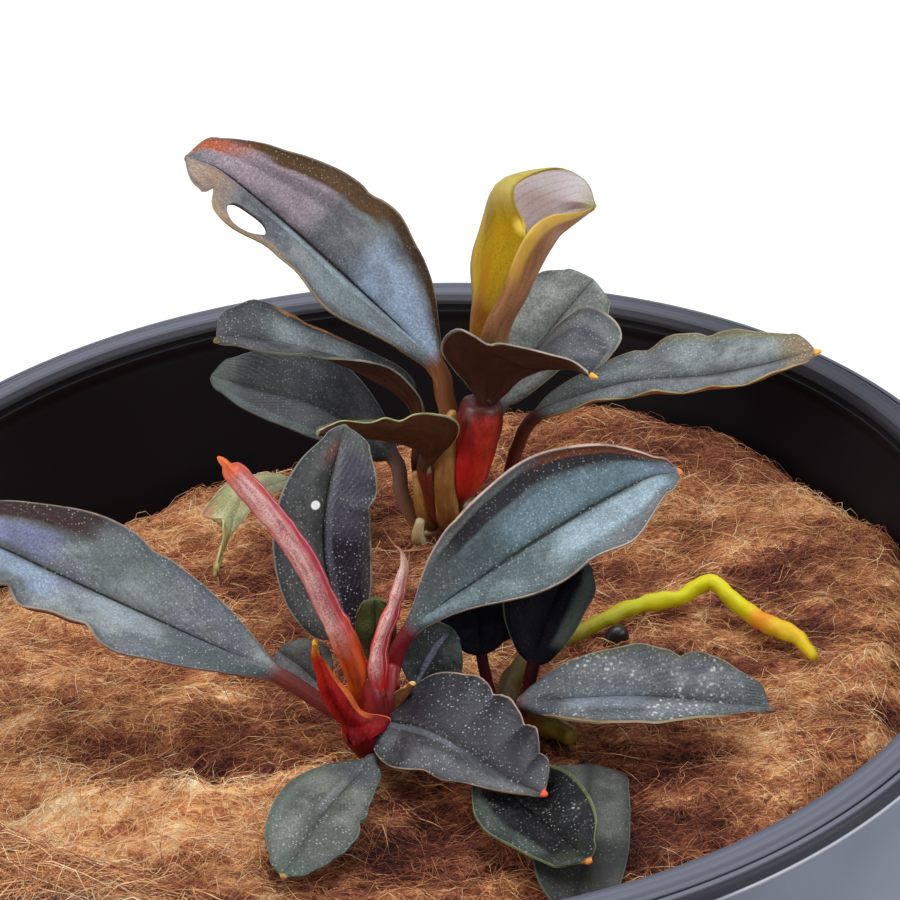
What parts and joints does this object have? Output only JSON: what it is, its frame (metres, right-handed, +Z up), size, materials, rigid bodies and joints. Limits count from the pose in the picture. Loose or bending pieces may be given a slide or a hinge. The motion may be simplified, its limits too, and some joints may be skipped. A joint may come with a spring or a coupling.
{
  "type": "potted aquarium plant",
  "caption": "Small creeping aquarium plant with dark glossy oval leaves on short red stems, rooted in coir fibre in a round tapered plastic pot.",
  "frame": {"origin": "centre of the pot's base, on the ground", "axes": "+Z up, the front of the plant towards -Y"},
  "size_m": [0.09, 0.09, 0.0969],
  "materials": {
    "pot": "satin black",
    "fibre": "loose brown fibre",
    "leaf": "glossy dark blue-grey with pale specks",
    "stem": "glossy dark red",
    "root": "satin yellow-green"
  },
  "bodies": {
    "root": {"back_leaf_brown": "leaf", "back_leaf_folded": "leaf", "back_leaf_grey": "leaf", "back_leaf_high": "leaf", "back_leaf_low_left": "leaf", "back_leaf_right": "leaf", "back_leaf_rolled": "leaf", "back_leaf_twisted": "leaf", "back_sheath": "stem", "back_stem": "stem", "back_stub": "stem", "fibre_bed": "fibre", "front_leaf_centre": "leaf", "front_leaf_left": "leaf", "front_leaf_low_left": "leaf", "front_leaf_low_right": "leaf", "front_leaf_right": "leaf", "front_leaf_rolled": "leaf", "front_leaf_small_back": "leaf", "front_leaf_small_left": "leaf", "front_leaf_small_right": "leaf", "front_leaf_spear": "leaf", "front_sheath": "stem", "front_sheath_small": "stem", "front_stem": "stem", "green_root": "root", "pot": "pot", "side_leaf_dark": "leaf", "side_leaf_dark_back": "leaf", "side_leaf_dark_low": "leaf", "side_leaf_hanging": "leaf", "side_leaf_right": "leaf", "side_leaf_round": "leaf", "side_stem": "stem", "torn_leaf": "leaf"}
  },
  "joints": []
}
